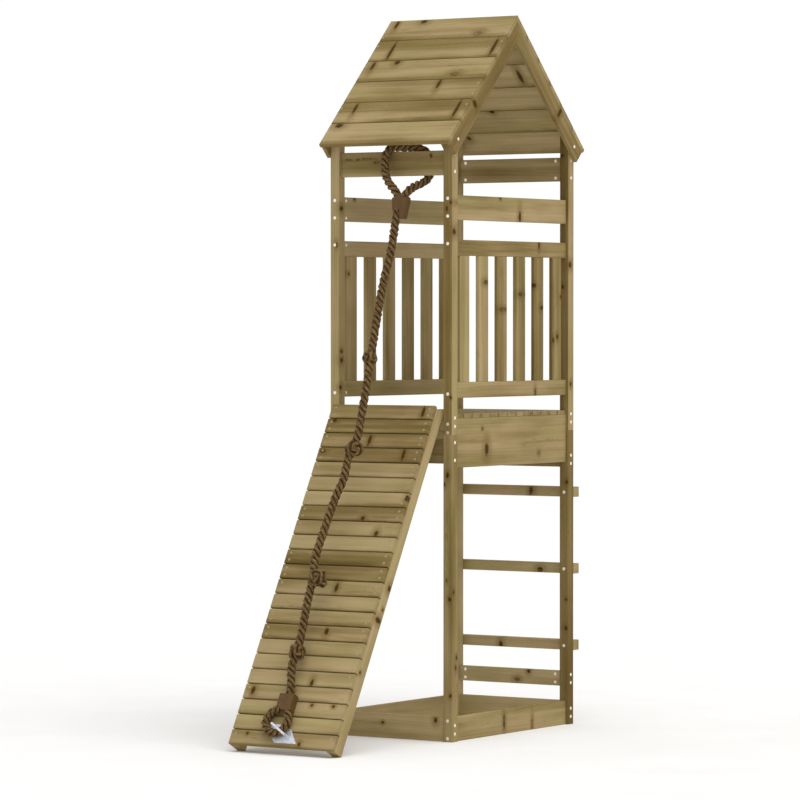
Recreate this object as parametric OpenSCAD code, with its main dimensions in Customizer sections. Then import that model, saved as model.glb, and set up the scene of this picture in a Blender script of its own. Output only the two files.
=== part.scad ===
// Wooden play tower: gable roof, slatted cabin, ladder at the back, climbing ramp and rope in front.
// Millimetres, +Z up. The ramp faces -Y, the ladder +Y, and the gables face -X and +X.
// The origin is on the ground, under the centre of the tower and ramp together.

/* [Tower] */
// Width over the posts, gable to gable
tower_w = 414; // [360:1:520]
// Depth over the posts, ramp side to ladder side
tower_d = 664; // [600:4:760]
// Side of a square post
post = 30; // [26:1:32]
// Thickness of the boards set between the posts
board_t = 12; // [10:1:16]
// Height of a wide board
wide_h = 70; // [66:1:74]
// Height of a narrow board
narrow_h = 45; // [44:1:48]
// Rounding along the edges of the timber
edge_r = 2; // [1:0.5:3]

/* [Deck] */
// Height of the left and right deck boards
deck_board_h = 140; // [125:1:150]
// From the deck's walking surface down to the bottom of the front deck board
front_board_drop = 140; // [130:1:150]
// From the deck's walking surface down to the bottom of the back lower rail
back_rail_drop = 167; // [155:1:180]
// Number of deck planks
deck_count = 13; // [11:1:13]
// Width of a deck plank
deck_plank_w = 44; // [36:1:44]
// Thickness of a deck plank
deck_plank_t = 12; // [10:1:15]

/* [Cabin] */
// Height of the slatted panels
panel_h = 447; // [400:1:500]
// Clear height from the deck to the slatted panels
panel_gap = 45; // [30:1:60]
// Number of slats in a panel
slat_count = 6; // [4:1:7]
// Width of a slat
slat_w = 51; // [40:1:54]
// Thickness of a slat
slat_t = 12; // [8:1:14]
// Clear space between an end slat and its post
slat_end_gap = 25; // [20:1:40]
// Clear height above and below the left and right side rails
rail_gap = 55.5; // [40:0.5:70]
// From the roof's underside, at the middle of the posts, down to the bottom of the front and back top rails
top_rail_drop = 133; // [131:1:150]

/* [Roof] */
// Height of the ridge
ridge_z = 2065; // [2060:1:2110]
// Pitch of both slopes in degrees
roof_pitch = 45; // [43:0.5:45]
// How far the eaves reach past the posts
eave_reach = 42; // [30:1:50]
// Planks on each slope
roof_count = 6; // [5:1:7]
// Thickness of a roof plank
roof_t = 12; // [10:1:15]
// Gap between roof planks
roof_gap = 1.5; // [1:0.5:4]
// Width of a barge board
barge_w = 45; // [38:1:50]
// Thickness of a barge board
barge_t = 11; // [11:1:16]
// How far a barge board stops short of the eave
barge_setback = 5; // [2:1:12]

/* [Ladder] */
// Side of a square rung
rung = 30; // [26:1:34]
// Centre of the lowest rung
rung_z = 232; // [210:1:250]
// Bottom of the brace below the rungs
brace_z = 112; // [100:1:125]

/* [Ramp] */
// Slope of the ramp in degrees
ramp_angle = 61; // [57:0.5:64]
// How far the level cut at the top of the stringers stands above the deck
ramp_rise = 12; // [9:1:13]
// Width of a stringer
stringer_w = 28; // [24:1:34]
// Depth of a stringer, square to the slope
stringer_d = 36; // [34:1:42]
// How much of a stringer's top is cut off plumb where it meets the front deck rail
ramp_bite = 12; // [12:0.5:14]
// Number of ramp planks
ramp_count = 23; // [20:1:25]
// Gap between ramp planks
ramp_gap = 3.2; // [2:0.2:6]
// Thickness of a ramp plank
ramp_plank_t = 13; // [11:1:16]
// Clear space at each side between the ramp and the line of the posts' inner faces
ramp_side_gap = 3.5; // [0:0.5:6]
// How far the top plank reaches past the stringers
ramp_overhang = 8; // [4:1:12]

/* [Fasteners] */
// Head diameter of the frame bolts
bolt_head_d = 9.5; // [8:0.5:10]
// Shank diameter of the frame bolts
bolt_d = 5; // [4:0.5:5]
// How far a frame bolt reaches into a rail
bolt_grip = 30; // [28:1:36]
// Diameter of a barrel nut
nut_d = 9; // [8:0.5:10]
// Distance from a barrel nut to the end of its rail
nut_inset = 20; // [17:1:22]
// Head diameter of the wood screws
screw_head_d = 7; // [6:0.5:8]
// Shank diameter of the wood screws
screw_d = 3.5; // [3:0.5:4]
// Length of the wood screws in the roof and the ramp
screw_l = 38; // [32:1:38]
// Radial clearance of a bolt, nut or screw in its hole
hole_gap = 0.1; // [0.05:0.05:0.2]

/* [Rope] */
// Diameter of the climbing rope
rope_d = 21; // [18:1:22]
// Diameter of a knot
knot_d = 40; // [36:1:44]
// Length of a knot along the rope
knot_l = 66; // [56:1:80]
// Width of a rope clamp
clamp_w = 48; // [46:1:52]
// Thickness of a rope clamp
clamp_t = 23; // [23:1:26]
// Length of the upper clamp
upper_clamp_l = 66; // [60:1:72]
// Length of the lower clamp
lower_clamp_l = 48; // [44:1:54]
// Thickness of the eye plate
plate_t = 3; // [2:0.5:4]
// Diameter of the eye plate's rod
rod_d = 7; // [6:0.5:8]

/* [Hidden] */
$fn = 32;

// Colours
lit_wood = [0.66, 0.59, 0.42];
post_wood = [0.60, 0.53, 0.36];
roof_wood = [0.70, 0.62, 0.45];
rope_brown = [0.36, 0.27, 0.20];
clamp_brown = [0.40, 0.29, 0.19];
pale_zinc = [0.86, 0.84, 0.80];

// Sides of the tower: left and front are -1, right and back are +1
left = -1;
right = 1;
front = -1;
back = 1;

// Tower frame: x from the middle of the tower, y from the front faces of the posts
inner_x = tower_w / 2 - post;
inner_d = tower_d - 2 * post;
mid_y = tower_d / 2;
function post_x(side) = side * (tower_w - post) / 2;
function post_y(side) = mid_y + side * (tower_d - post) / 2;

// Outline of a rectangle with rounded corners, in any two axes
corner_steps = 3;
function soft_rect(u0, u1, v0, v1, r) = [
  for (c = [0:3])
    for (i = [0:corner_steps])
      let (turn = 90 * (c + i / corner_steps))
        [(c == 0 || c == 3 ? u1 - r : u0 + r) + r * cos(turn), (c < 2 ? v1 - r : v0 + r) + r * sin(turn)]
];

// Roof points: u runs down a slope from the ridge, v goes into the slope from its outer face
function roof_pt(side, u, v) = [
  mid_y + side * (u * cos(roof_pitch) - v * sin(roof_pitch)),
  ridge_z - u * sin(roof_pitch) - v * cos(roof_pitch)
];
function roof_z(y, v) = ridge_z - abs(y - mid_y) * tan(roof_pitch) - v / cos(roof_pitch);
slope_l = (mid_y + eave_reach) / cos(roof_pitch);
roof_plank_w = (slope_l - (roof_count - 1) * roof_gap) / roof_count;
roof_l = tower_w + 2 * barge_t;
function roof_plank_u(k) = k * (roof_plank_w + roof_gap);
// Outline of roof plank k; the topmost is cut plumb at the ridge
function roof_outline(side, k) = let (u0 = roof_plank_u(k), u1 = u0 + roof_plank_w) k > 0
  ? [for (q = soft_rect(u0, u1, 0, roof_t, edge_r)) roof_pt(side, q[0], q[1])]
  : [
      roof_pt(side, 0, 0),
      roof_pt(side, u1 - edge_r, 0),
      roof_pt(side, u1, edge_r),
      roof_pt(side, u1, roof_t - edge_r),
      roof_pt(side, u1 - edge_r, roof_t),
      roof_pt(side, roof_t * tan(roof_pitch), roof_t)
    ];

// Heights, from the roof down: top rails, side rails, slatted panels, deck
top_rail_z = roof_z(post / 2, roof_t) - top_rail_drop;
side_rail_z = top_rail_z - rail_gap - wide_h;
panel_z = side_rail_z - rail_gap - panel_h;
panel_top_z = panel_z + panel_h - narrow_h;
deck_z = panel_z - panel_gap;
board_top = deck_z - deck_plank_t;
front_board_z = deck_z - front_board_drop;
back_rail_z = deck_z - back_rail_drop;
// Rungs in even steps, with the deck as the last step
rung_count = 3;
rung_pitch = (deck_z - rung / 2 - rung_z) / rung_count;
rung_heights = [for (k = [0:rung_count - 1]) rung_z + k * rung_pitch];

// Ramp points: s runs down the slope from the top edge of the planks, h goes out from the stringers' face
ramp_top_z = deck_z + ramp_rise;
ramp_lip_y = ramp_bite - stringer_d / sin(ramp_angle);
ramp_s0 = [ramp_lip_y + ramp_overhang * cos(ramp_angle), ramp_top_z + ramp_overhang * sin(ramp_angle)];
function ramp_pt(s, h) = [
  ramp_s0[0] - s * cos(ramp_angle) - h * sin(ramp_angle),
  ramp_s0[1] - s * sin(ramp_angle) + h * cos(ramp_angle)
];
ramp_l = (ramp_s0[1] - stringer_d * cos(ramp_angle)) / sin(ramp_angle);
ramp_plank_w = (ramp_l - (ramp_count - 1) * ramp_gap) / ramp_count;
ramp_pitch = ramp_plank_w + ramp_gap;

// Eye plate: places on the ramp are [x, distance up from the lower edge of the lowest plank]
plate_outline = [[51, 10], [-20, 10], [-47, 36], [-47, 64], [-20, 64], [22, 51]];
plate_screw_at = [[41, 16.5], [-12, 17], [-40, 56]];
plate_screw_l = 14;
rod_feet = [[-26, 54], [23, 25.5]];
rod_rise = rope_d + rod_d / 2 + 2;
rod_span = rod_feet[1] - rod_feet[0];
rod_turn = atan2(rod_span[1], rod_span[0]);

// Row frame: the tower frame moved so that the eye plate's rod and the back eave lie alike about the origin
rod_end_s = ramp_l - rod_feet[1][1] - rod_d / 2 * sin(rod_turn);
rod_reach = rod_d / 2 * norm([cos(rod_turn) * cos(ramp_angle), sin(ramp_angle)]);
rod_y = ramp_pt(rod_end_s, ramp_plank_t + plate_t + rod_rise)[0] - rod_reach;
eave_y = max([for (p = roof_outline(back, roof_count - 1)) p[0]]);
front_y = -(rod_y + eave_y) / 2;
module in_place() translate([0, front_y, 0]) children();

// Timber: beams with rounded long edges, centred across their length and section
module beam_x(l, d, h) rotate([90, 0, 90]) linear_extrude(l, center = true)
  polygon(soft_rect(-d / 2, d / 2, -h / 2, h / 2, edge_r));
module beam_y(l, w, h) rotate([90, 0, 0]) linear_extrude(l, center = true)
  polygon(soft_rect(-w / 2, w / 2, -h / 2, h / 2, edge_r));
module beam_z(l, w, d) linear_extrude(l, center = true)
  polygon(soft_rect(-w / 2, w / 2, -d / 2, d / 2, edge_r));
module side_profile(l, points) rotate([90, 0, 90]) linear_extrude(l, center = true) polygon(points);

// Fasteners point along +Z with the top of the head at zero; a hole is the fastener grown by hole_gap
tip_l = 4;
tip_d = 1;
head_clear = 1;
module fastener(l, d, head_d, grow = 0) rotate_extrude() polygon([
  [0, grow > 0 ? -head_clear : 0],
  [head_d / 2 + grow, grow > 0 ? -head_clear : 0],
  [head_d / 2 + grow, 0],
  [d / 2 + grow, (head_d - d) / 2 + grow],
  [d / 2 + grow, l - tip_l + grow],
  [tip_d / 2 + grow, l + grow],
  [0, l + grow]
]);
module bolt(l, grow = 0) fastener(l, bolt_d, bolt_head_d, grow);
module wood_screw(l, grow = 0) fastener(l, screw_d, screw_head_d, grow);
module pointing_x(dir) rotate([0, dir * 90, 0]) children();
module pointing_y(dir) rotate([-dir * 90, 0, 0]) children();
module pointing_down() rotate([180, 0, 0]) children();

// Bolt heights: a pair in each board end, wider in the wide boards, and one bolt in each panel rail end
wide_pair = 50;
narrow_pair = 24;
function pair(mid, gap) = [mid - gap / 2, mid + gap / 2];
top_rail_bolts = pair(top_rail_z + wide_h / 2, wide_pair);
side_rail_bolts = pair(side_rail_z + wide_h / 2, wide_pair);
brace_bolts = pair(brace_z + narrow_h / 2, narrow_pair);
deck_rail_bolts = pair(deck_z - narrow_h / 2, narrow_pair);
front_board_bolts = pair(front_board_z + wide_h / 2, wide_pair);
back_rail_bolts = pair(back_rail_z + narrow_h / 2, narrow_pair);
base_x_bolts = pair(wide_h / 2, narrow_pair);
base_y_bolts = pair(wide_h / 2, wide_pair);
deck_bolt_stagger = 17.5;
deck_board_bolts = [for (z = deck_rail_bolts) z - deck_bolt_stagger];
panel_bolt_inset = 12;
panel_bolts = [panel_z + panel_bolt_inset, panel_z + panel_h - panel_bolt_inset];

// Bolts along X, through the posts of the front or the back into the boards between them
x_bolt_heights = [
  [front, concat(base_x_bolts, front_board_bolts, deck_rail_bolts, top_rail_bolts)],
  [back, concat(base_x_bolts, brace_bolts, back_rail_bolts, deck_rail_bolts, top_rail_bolts)]
];
function x_bolts(side) = side == front ? x_bolt_heights[0][1] : x_bolt_heights[1][1];
// Bolts along Y, through the posts of either gable side into the boards between them
y_bolts = concat(base_y_bolts, deck_board_bolts, panel_bolts, side_rail_bolts);
bolt_l = post + bolt_grip;

module x_bolts_at(heights, x_side, y_side, grow = 0)
  for (z = heights)
    translate([x_side * tower_w / 2, post_y(y_side), z]) pointing_x(-x_side) bolt(bolt_l, grow);
module y_bolts_at(heights, x_side, y_side, grow = 0)
  for (z = heights)
    translate([post_x(x_side), mid_y + y_side * tower_d / 2, z]) pointing_y(-y_side) bolt(bolt_l, grow);

// Barrel nuts stand in the inner faces of the rails, and the bolts run through them
nut_l = board_t - 2;
module nut_blank(grow = 0) translate([0, 0, -grow]) cylinder(d = nut_d + 2 * grow, h = nut_l + 2 * grow);
module x_rail_nuts(heights, y_side, grow = 0)
  for (x_side = [left, right])
    for (z = heights)
      translate([x_side * (inner_x - nut_inset), post_y(y_side) - y_side * board_t / 2, z])
        pointing_y(y_side) nut_blank(grow);
module y_rail_nuts(heights, x_side, grow = 0)
  for (y_side = [front, back])
    for (z = heights)
      translate([post_x(x_side) - x_side * board_t / 2, mid_y + y_side * (inner_d / 2 - nut_inset), z])
        pointing_x(x_side) nut_blank(grow);

// A board between the left and right posts, and one between the front and back posts
module x_board(y_side, z, h, t, heights, nuts = false) difference() {
  translate([0, post_y(y_side), z + h / 2]) beam_x(tower_w - 2 * post, t, h);
  for (x_side = [left, right]) x_bolts_at(heights, x_side, y_side, hole_gap);
  if (nuts) x_rail_nuts(heights, y_side, hole_gap);
}
module y_board(x_side, z, h, heights, nuts = false) difference() {
  translate([post_x(x_side), mid_y, z + h / 2]) beam_y(inner_d, board_t, h);
  for (y_side = [front, back]) y_bolts_at(heights, x_side, y_side, hole_gap);
  if (nuts) y_rail_nuts(heights, x_side, hole_gap);
}

// Posts: a lower and an upper length, butted just below the bolts of the deck boards
joint_drop = 6;
post_joint_z = min(deck_board_bolts) - joint_drop;
rung_screw_l = post + 22;
module rung_screws_at(heights, x_side, grow = 0)
  for (z = heights)
    translate([post_x(x_side), tower_d - post, z]) pointing_y(back) bolt(rung_screw_l, grow);
function between(heights, lo, hi) = [for (z = heights) if (z > lo && z < hi) z];
module post_holes(x_side, y_side, lo, hi) {
  x_bolts_at(between(x_bolts(y_side), lo, hi), x_side, y_side, hole_gap);
  y_bolts_at(between(y_bolts, lo, hi), x_side, y_side, hole_gap);
  if (y_side == back) rung_screws_at(between(rung_heights, lo, hi), x_side, hole_gap);
}
module lower_post(x_side, y_side) color(post_wood) in_place() difference() {
  translate([post_x(x_side), post_y(y_side), post_joint_z / 2]) beam_z(post_joint_z, post, post);
  post_holes(x_side, y_side, 0, post_joint_z);
}
// An upper post is cut off at its top along the underside of the roof planks
post_top_z = roof_z(post, roof_t) + post;
module upper_post(x_side, y_side) color(post_wood) in_place() difference() {
  translate([post_x(x_side), post_y(y_side), (post_joint_z + post_top_z) / 2])
    beam_z(post_top_z - post_joint_z, post, post);
  side_profile(roof_l, [
    roof_pt(y_side, 0, roof_t),
    roof_pt(y_side, slope_l, roof_t),
    roof_pt(y_side, slope_l, -2 * post),
    roof_pt(y_side, 0, -2 * post)
  ]);
  post_holes(x_side, y_side, post_joint_z, post_top_z);
  barge_screw_at(x_side, y_side, hole_gap);
}

// Boards of the base, the deck and the cabin
module base_x_board(side) color(lit_wood) in_place() x_board(side, 0, wide_h, board_t, base_x_bolts);
module base_y_board(side) color(lit_wood) in_place() y_board(side, 0, wide_h, base_y_bolts);
module ladder_brace() color(lit_wood) in_place()
  x_board(back, brace_z, narrow_h, board_t, brace_bolts, true);
module deck_rail(side) color(lit_wood) in_place() difference() {
  x_board(side, deck_z - narrow_h, narrow_h, post, deck_rail_bolts);
  if (side == front) ramp_fixings(hole_gap);
}
module front_deck_board() color(lit_wood) in_place()
  x_board(front, front_board_z, wide_h, board_t, front_board_bolts);
module back_lower_rail() color(lit_wood) in_place()
  x_board(back, back_rail_z, narrow_h, board_t, back_rail_bolts);
module deck_board(side) color(lit_wood) in_place() difference() {
  y_board(side, board_top - deck_board_h, deck_board_h, deck_board_bolts);
  deck_screws_at(side, hole_gap);
}
module top_rail(side) color(lit_wood) in_place()
  x_board(side, top_rail_z, wide_h, board_t, top_rail_bolts, true);
module side_rail(side) color(lit_wood) in_place()
  y_board(side, side_rail_z, wide_h, side_rail_bolts, true);

// Deck planks run between the gable sides, flush with the outer faces of the deck boards
deck_plank_l = tower_w - post + board_t;
deck_pitch = (inner_d - deck_plank_w) / (deck_count - 1);
function deck_plank_y(k) = post + deck_plank_w / 2 + k * deck_pitch;
deck_screw_l = 23;
module deck_screws_at(side, grow = 0)
  for (k = [0:deck_count - 1])
    translate([post_x(side), deck_plank_y(k), deck_z]) pointing_down() wood_screw(deck_screw_l, grow);
module deck_planks() color(lit_wood) in_place() difference() {
  for (k = [0:deck_count - 1])
    translate([0, deck_plank_y(k), deck_z - deck_plank_t / 2])
      beam_x(deck_plank_l, deck_plank_w, deck_plank_t);
  for (side = [left, right]) deck_screws_at(side, hole_gap);
}

// Slatted panels: slats stand between two rails and are screwed through them into their ends
slat_l = panel_h - 2 * narrow_h;
slat_pitch = (inner_d - 2 * slat_end_gap - slat_w) / (slat_count - 1);
function slat_y(k) = post + slat_end_gap + slat_w / 2 + k * slat_pitch;
panel_screw_l = narrow_h + 25;
module panel_screws_at(side, z, up, grow = 0)
  for (k = [0:slat_count - 1])
    translate([post_x(side), slat_y(k), z]) rotate([up ? 0 : 180, 0, 0]) wood_screw(panel_screw_l, grow);
module panel_top_rail(side) color(lit_wood) in_place() difference() {
  y_board(side, panel_top_z, narrow_h, [panel_bolts[1]], true);
  panel_screws_at(side, panel_z + panel_h, false, hole_gap);
}
module panel_bottom_rail(side) color(lit_wood) in_place() difference() {
  y_board(side, panel_z, narrow_h, [panel_bolts[0]], true);
  panel_screws_at(side, panel_z, true, hole_gap);
}
module panel_slats(side) color(lit_wood) in_place() difference() {
  for (k = [0:slat_count - 1])
    translate([post_x(side), slat_y(k), panel_z + panel_h / 2]) beam_z(slat_l, slat_t, slat_w);
  panel_screws_at(side, panel_z, true, hole_gap);
  panel_screws_at(side, panel_z + panel_h, false, hole_gap);
}

// Ladder rungs lie across the back faces of the back posts
module ladder_rung(k) color(lit_wood) in_place() difference() {
  translate([0, tower_d + rung / 2, rung_heights[k]]) beam_x(tower_w, rung, rung);
  for (side = [left, right]) rung_screws_at([rung_heights[k]], side, hole_gap);
}

// Roof planks and barge boards; the topmost planks and the barges are cut plumb at the ridge
// Screws sit at these shares of a plank's width, lower in the topmost plank so that they miss the ridge
roof_shares = [0.25, 0.75];
ridge_shares = [0.56, 0.84];
barge_in_x = tower_w / 2;
module roof_screws_at(x_side, y_side, grow = 0)
  for (k = [0:roof_count - 1])
    for (share = k == 0 ? ridge_shares : roof_shares)
      let (q = roof_pt(y_side, roof_plank_u(k) + share * roof_plank_w, 0))
        translate([x_side * (barge_in_x + barge_t / 2), q[0], q[1]])
          rotate([180 - y_side * roof_pitch, 0, 0]) wood_screw(screw_l, grow);
module roof_planks(y_side) color(roof_wood) in_place() difference() {
  for (k = [0:roof_count - 1]) side_profile(roof_l, roof_outline(y_side, k));
  for (x_side = [left, right]) roof_screws_at(x_side, y_side, hole_gap);
}
barge_end_u = slope_l - barge_setback;
barge_v = roof_t + barge_w;
barge_screw_l = barge_t + 24;
module barge_screw_at(x_side, y_side, grow = 0)
  translate([x_side * (barge_in_x + barge_t), post_y(y_side), roof_z(post_y(y_side), roof_t + barge_w / 2)])
    pointing_x(-x_side) bolt(barge_screw_l, grow);
module barge(x_side, y_side) color(lit_wood) in_place() difference() {
  translate([x_side * (barge_in_x + barge_t / 2), 0, 0]) side_profile(barge_t, [
    roof_pt(y_side, roof_t * tan(roof_pitch), roof_t),
    roof_pt(y_side, barge_end_u, roof_t),
    roof_pt(y_side, barge_end_u, barge_v),
    roof_pt(y_side, barge_v * tan(roof_pitch), barge_v)
  ]);
  roof_screws_at(x_side, y_side, hole_gap);
  barge_screw_at(x_side, y_side, hole_gap);
}

// Ramp: stringers with square-cut feet, cut plumb at the top where they lean on the front deck rail
ramp_side_x = inner_x - ramp_side_gap;
stringer_x = ramp_side_x - stringer_w / 2;
plumb_h = ramp_bite * tan(ramp_angle);
ramp_shares = [0.25, 0.75];
module ramp_screws_at(x_side, grow = 0)
  for (k = [0:ramp_count - 1])
    for (share = ramp_shares)
      let (q = ramp_pt(k * ramp_pitch + share * ramp_plank_w, ramp_plank_t))
        translate([x_side * stringer_x, q[0], q[1]])
          rotate([180 + ramp_angle, 0, 0]) wood_screw(screw_l, grow);
fixing_drop = 4.75;
fixing_z = deck_z - fixing_drop;
fixing_l = post + 12;
module ramp_fixings(grow = 0)
  for (x_side = [left, right])
    translate([x_side * stringer_x, post, fixing_z]) pointing_y(front) wood_screw(fixing_l, grow);
module stringer(x_side) color(post_wood) in_place() difference() {
  translate([x_side * stringer_x, 0, 0]) side_profile(stringer_w, [
    [ramp_lip_y, ramp_top_z],
    ramp_pt(ramp_l, 0),
    ramp_pt(ramp_l, -stringer_d),
    [0, ramp_top_z - plumb_h],
    [0, ramp_top_z]
  ]);
  ramp_screws_at(x_side, hole_gap);
  ramp_fixings(hole_gap);
}
module ramp_planks() color(lit_wood) in_place() difference() {
  for (k = [0:ramp_count - 1])
    let (s = k * ramp_pitch)
      side_profile(2 * ramp_side_x, [
        for (q = soft_rect(s, s + ramp_plank_w, 0, ramp_plank_t, edge_r)) ramp_pt(q[0], q[1])
      ]);
  for (x_side = [left, right]) ramp_screws_at(x_side, hole_gap);
  plate_screws_at(hole_gap);
}

// Fastener groups
module frame_bolts() color(pale_zinc) in_place()
  for (x_side = [left, right])
    for (y_side = [front, back]) {
      x_bolts_at(x_bolts(y_side), x_side, y_side);
      y_bolts_at(y_bolts, x_side, y_side);
    }
module barrel_nuts() color(pale_zinc) in_place() difference() {
  union() {
    x_rail_nuts(brace_bolts, back);
    for (y_side = [front, back]) x_rail_nuts(top_rail_bolts, y_side);
    for (x_side = [left, right]) y_rail_nuts(concat(panel_bolts, side_rail_bolts), x_side);
  }
  for (x_side = [left, right])
    for (y_side = [front, back]) {
      x_bolts_at(concat(y_side == back ? brace_bolts : [], top_rail_bolts), x_side, y_side, hole_gap);
      y_bolts_at(concat(panel_bolts, side_rail_bolts), x_side, y_side, hole_gap);
    }
}
module rung_screws() color(pale_zinc) in_place()
  for (side = [left, right]) rung_screws_at(rung_heights, side);
module barge_screws() color(pale_zinc) in_place()
  for (x_side = [left, right])
    for (y_side = [front, back]) barge_screw_at(x_side, y_side);
module roof_screws() color(pale_zinc) in_place()
  for (x_side = [left, right])
    for (y_side = [front, back]) roof_screws_at(x_side, y_side);
module deck_screws() color(pale_zinc) in_place() for (side = [left, right]) deck_screws_at(side);
module panel_screws() color(pale_zinc) in_place()
  for (side = [left, right]) {
    panel_screws_at(side, panel_z, true);
    panel_screws_at(side, panel_z + panel_h, false);
  }
module ramp_screws() color(pale_zinc) in_place() for (x_side = [left, right]) ramp_screws_at(x_side);
module ramp_fixing_screws() color(pale_zinc) in_place() ramp_fixings();

// The eye plate is screwed to the lowest planks, and its bent rod holds the rope's eye
module on_ramp(h)
  translate([0, ramp_pt(ramp_l, h)[0], ramp_pt(ramp_l, h)[1]]) rotate([ramp_angle, 0, 0]) children();
module plate_screws_at(grow = 0) on_ramp(ramp_plank_t + plate_t)
  for (q = plate_screw_at) translate([q[0], q[1], 0]) pointing_down() wood_screw(plate_screw_l, grow);
module bent_rod() translate([rod_feet[0][0], rod_feet[0][1], plate_t]) rotate([0, 0, rod_turn]) {
  for (x = [0, norm(rod_span)])
    translate([x, 0, -plate_t / 2]) cylinder(d = rod_d, h = rod_rise + plate_t / 2);
  translate([-rod_d / 2, 0, rod_rise]) rotate([0, 90, 0]) cylinder(d = rod_d, h = norm(rod_span) + rod_d);
}
module eye_plate() color(pale_zinc) in_place() difference() {
  on_ramp(ramp_plank_t) {
    linear_extrude(plate_t) polygon(plate_outline);
    bent_rod();
  }
  plate_screws_at(hole_gap);
}
module plate_screws() color(pale_zinc) in_place() plate_screws_at();

// Rope: hand-chosen points of each centreline
rope_r = rope_d / 2;
rope_clear = 0.3;
// The noose hangs over the front top rail; its points count from the rail's faces, top and bottom
rail_front = (post - board_t) / 2 - rope_r - rope_clear;
rail_back = (post + board_t) / 2 + rope_r + rope_clear;
rail_over = top_rail_z + wide_h + rope_r + rope_clear;
rail_under = top_rail_z - rope_r - rope_clear;
noose_x = 60;
noose_y = rail_front - 35;
noose_z = rail_under - 46;
strand_x = clamp_w / 4;
noose_route = [
  [noose_x - strand_x, noose_y, noose_z],
  [40, noose_y, noose_z + 13],
  [26.5, noose_y + 1, noose_z + 26],
  [9, rail_front - 29, rail_under - 1],
  [-4, rail_front - 22, rail_under + 25],
  [-9, rail_front - 14, rail_under + 53],
  [-9, rail_front - 5, rail_over - 15],
  [5, rail_front + 6, rail_over],
  [34, (rail_front + rail_back) / 2, rail_over],
  [64, rail_back - 9, rail_over],
  [91, rail_back + 1, rail_over - 7],
  [104, rail_back + 5, rail_over - 27],
  [109, rail_back + 7, rail_under + 43],
  [109, rail_back + 6, rail_under + 20],
  [105, rail_back - 1, rail_under + 3],
  [97, rail_back - 15, rail_under - 9],
  [88, rail_front - 4, rail_under - 18],
  [80, noose_y + 11, rail_under - 30],
  [noose_x + strand_x, noose_y, noose_z]
];
// The eye lies on the ramp: [x, distance up from the lower edge of the lowest plank]
eye_x = -10;
eye_up = 100;
eye_h = ramp_plank_t + plate_t + rope_r + rope_clear;
eye_mid = [-24.5, 68];
eye_r = 35.5;
// One corner of the lower clamp is cut at 45 degrees, and the eye's first strand leaves it there
clamp_cut = (rope_d + 3) / sqrt(2);
eye_route = concat(
  [[eye_x - (clamp_w - clamp_cut) / 2, eye_up + clamp_cut / 2]],
  [for (turn = [130:25:380]) eye_mid + eye_r * [cos(turn), sin(turn)]],
  [[eye_x + clamp_w / 2 - rope_r - 1, eye_up]]
);
// The run hangs from the upper to the lower clamp: [share of the way, x and y off the straight line]
clamp_mouth_l = 40;
run_top = noose_route[0] - [0, 0, clamp_mouth_l];
run_foot = ramp_pt(ramp_l - eye_up - lower_clamp_l, eye_h);
run_end = [eye_x, run_foot[0], run_foot[1]];
run_places = [
  [0, 0, 0], [0.02, -2, 4], [0.086, -2, 15], [0.151, -6, 18], [0.21, -5, 22], [0.27, 1, 22], [0.31, 5, 21],
  [0.36, 11, 23], [0.409, 14, 25], [0.464, 13, 33], [0.499, 1, 43], [0.521, -7, 40], [0.546, -4, 36],
  [0.569, -4, 34], [0.601, -15, 32], [0.666, -22, 23], [0.722, -24, 12], [0.765, -13, 6], [0.815, -11, 3],
  [0.875, -5, 0], [0.913, -9, 0], [0.946, -12, -1], [0.985, -1, 2], [1, 0, 0]
];
run_route = [for (q = run_places) run_top + q[0] * (run_end - run_top) + [q[1], q[2], 0]];
knot_points = [6, 10, 17, 20];

// Tubes: rings swept along a smooth curve through the route's points
function smooth(p0, p1, p2, p3, t) = 0.5 * (
  2 * p1 + (p2 - p0) * t + (2 * p0 - 5 * p1 + 4 * p2 - p3) * t * t + (3 * p1 - p0 - 3 * p2 + p3) * t * t * t
);
function curve(route, steps) = let (n = len(route) - 1) concat(
  [
    for (i = [0:n - 1])
      for (k = [0:steps - 1])
        smooth(route[max(i - 1, 0)], route[i], route[i + 1], route[min(i + 2, n)], k / steps)
  ],
  [route[n]]
);
function unit(v) = v / norm(v);
function square_to(v, t) = unit(v - (v * t) * t);
function headings(line, first, last) = [
  for (i = [0:len(line) - 1])
    i == 0 ? first : i == len(line) - 1 ? last : unit(line[i + 1] - line[i - 1])
];
function ring_normals(ways) = [
  for (i = 0, v = square_to([1, 0, 0.1], ways[0]); i < len(ways);
       i = i + 1, v = i < len(ways) ? square_to(v, ways[i]) : v) v
];
// The end rings lie square to the first and last headings, flat on the faces of the clamps
module tube(line, radii, sides, first, last) {
  ways = headings(line, first, last);
  normals = ring_normals(ways);
  points = [
    for (i = [0:len(line) - 1])
      for (j = [0:sides - 1])
        let (turn = 360 * j / sides)
          line[i] + radii[i] * (cos(turn) * normals[i] + sin(turn) * cross(ways[i], normals[i]))
  ];
  end = (len(line) - 1) * sides;
  walls = [
    for (i = [0:len(line) - 2])
      for (j = [0:sides - 1])
        let (a = i * sides + j, b = i * sides + (j + 1) % sides)
          each [[a, a + sides, b], [b, a + sides, b + sides]]
  ];
  caps = [for (j = [1:sides - 2]) each [[0, j, j + 1], [end, end + j + 1, end + j]]];
  polyhedron(points, concat(walls, caps));
}
up = [0, 0, 1];
up_ramp = [0, cos(ramp_angle), sin(ramp_angle)];
run_line = curve(run_route, 3);
function knot_swell(p) = max([
  for (i = knot_points)
    let (d = norm(p - run_route[i]) / (knot_l / 2))
      d < 1 ? (1 - d * d) * (knot_d - rope_d) / 2 : 0
]);
rope_sides = 10;
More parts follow.
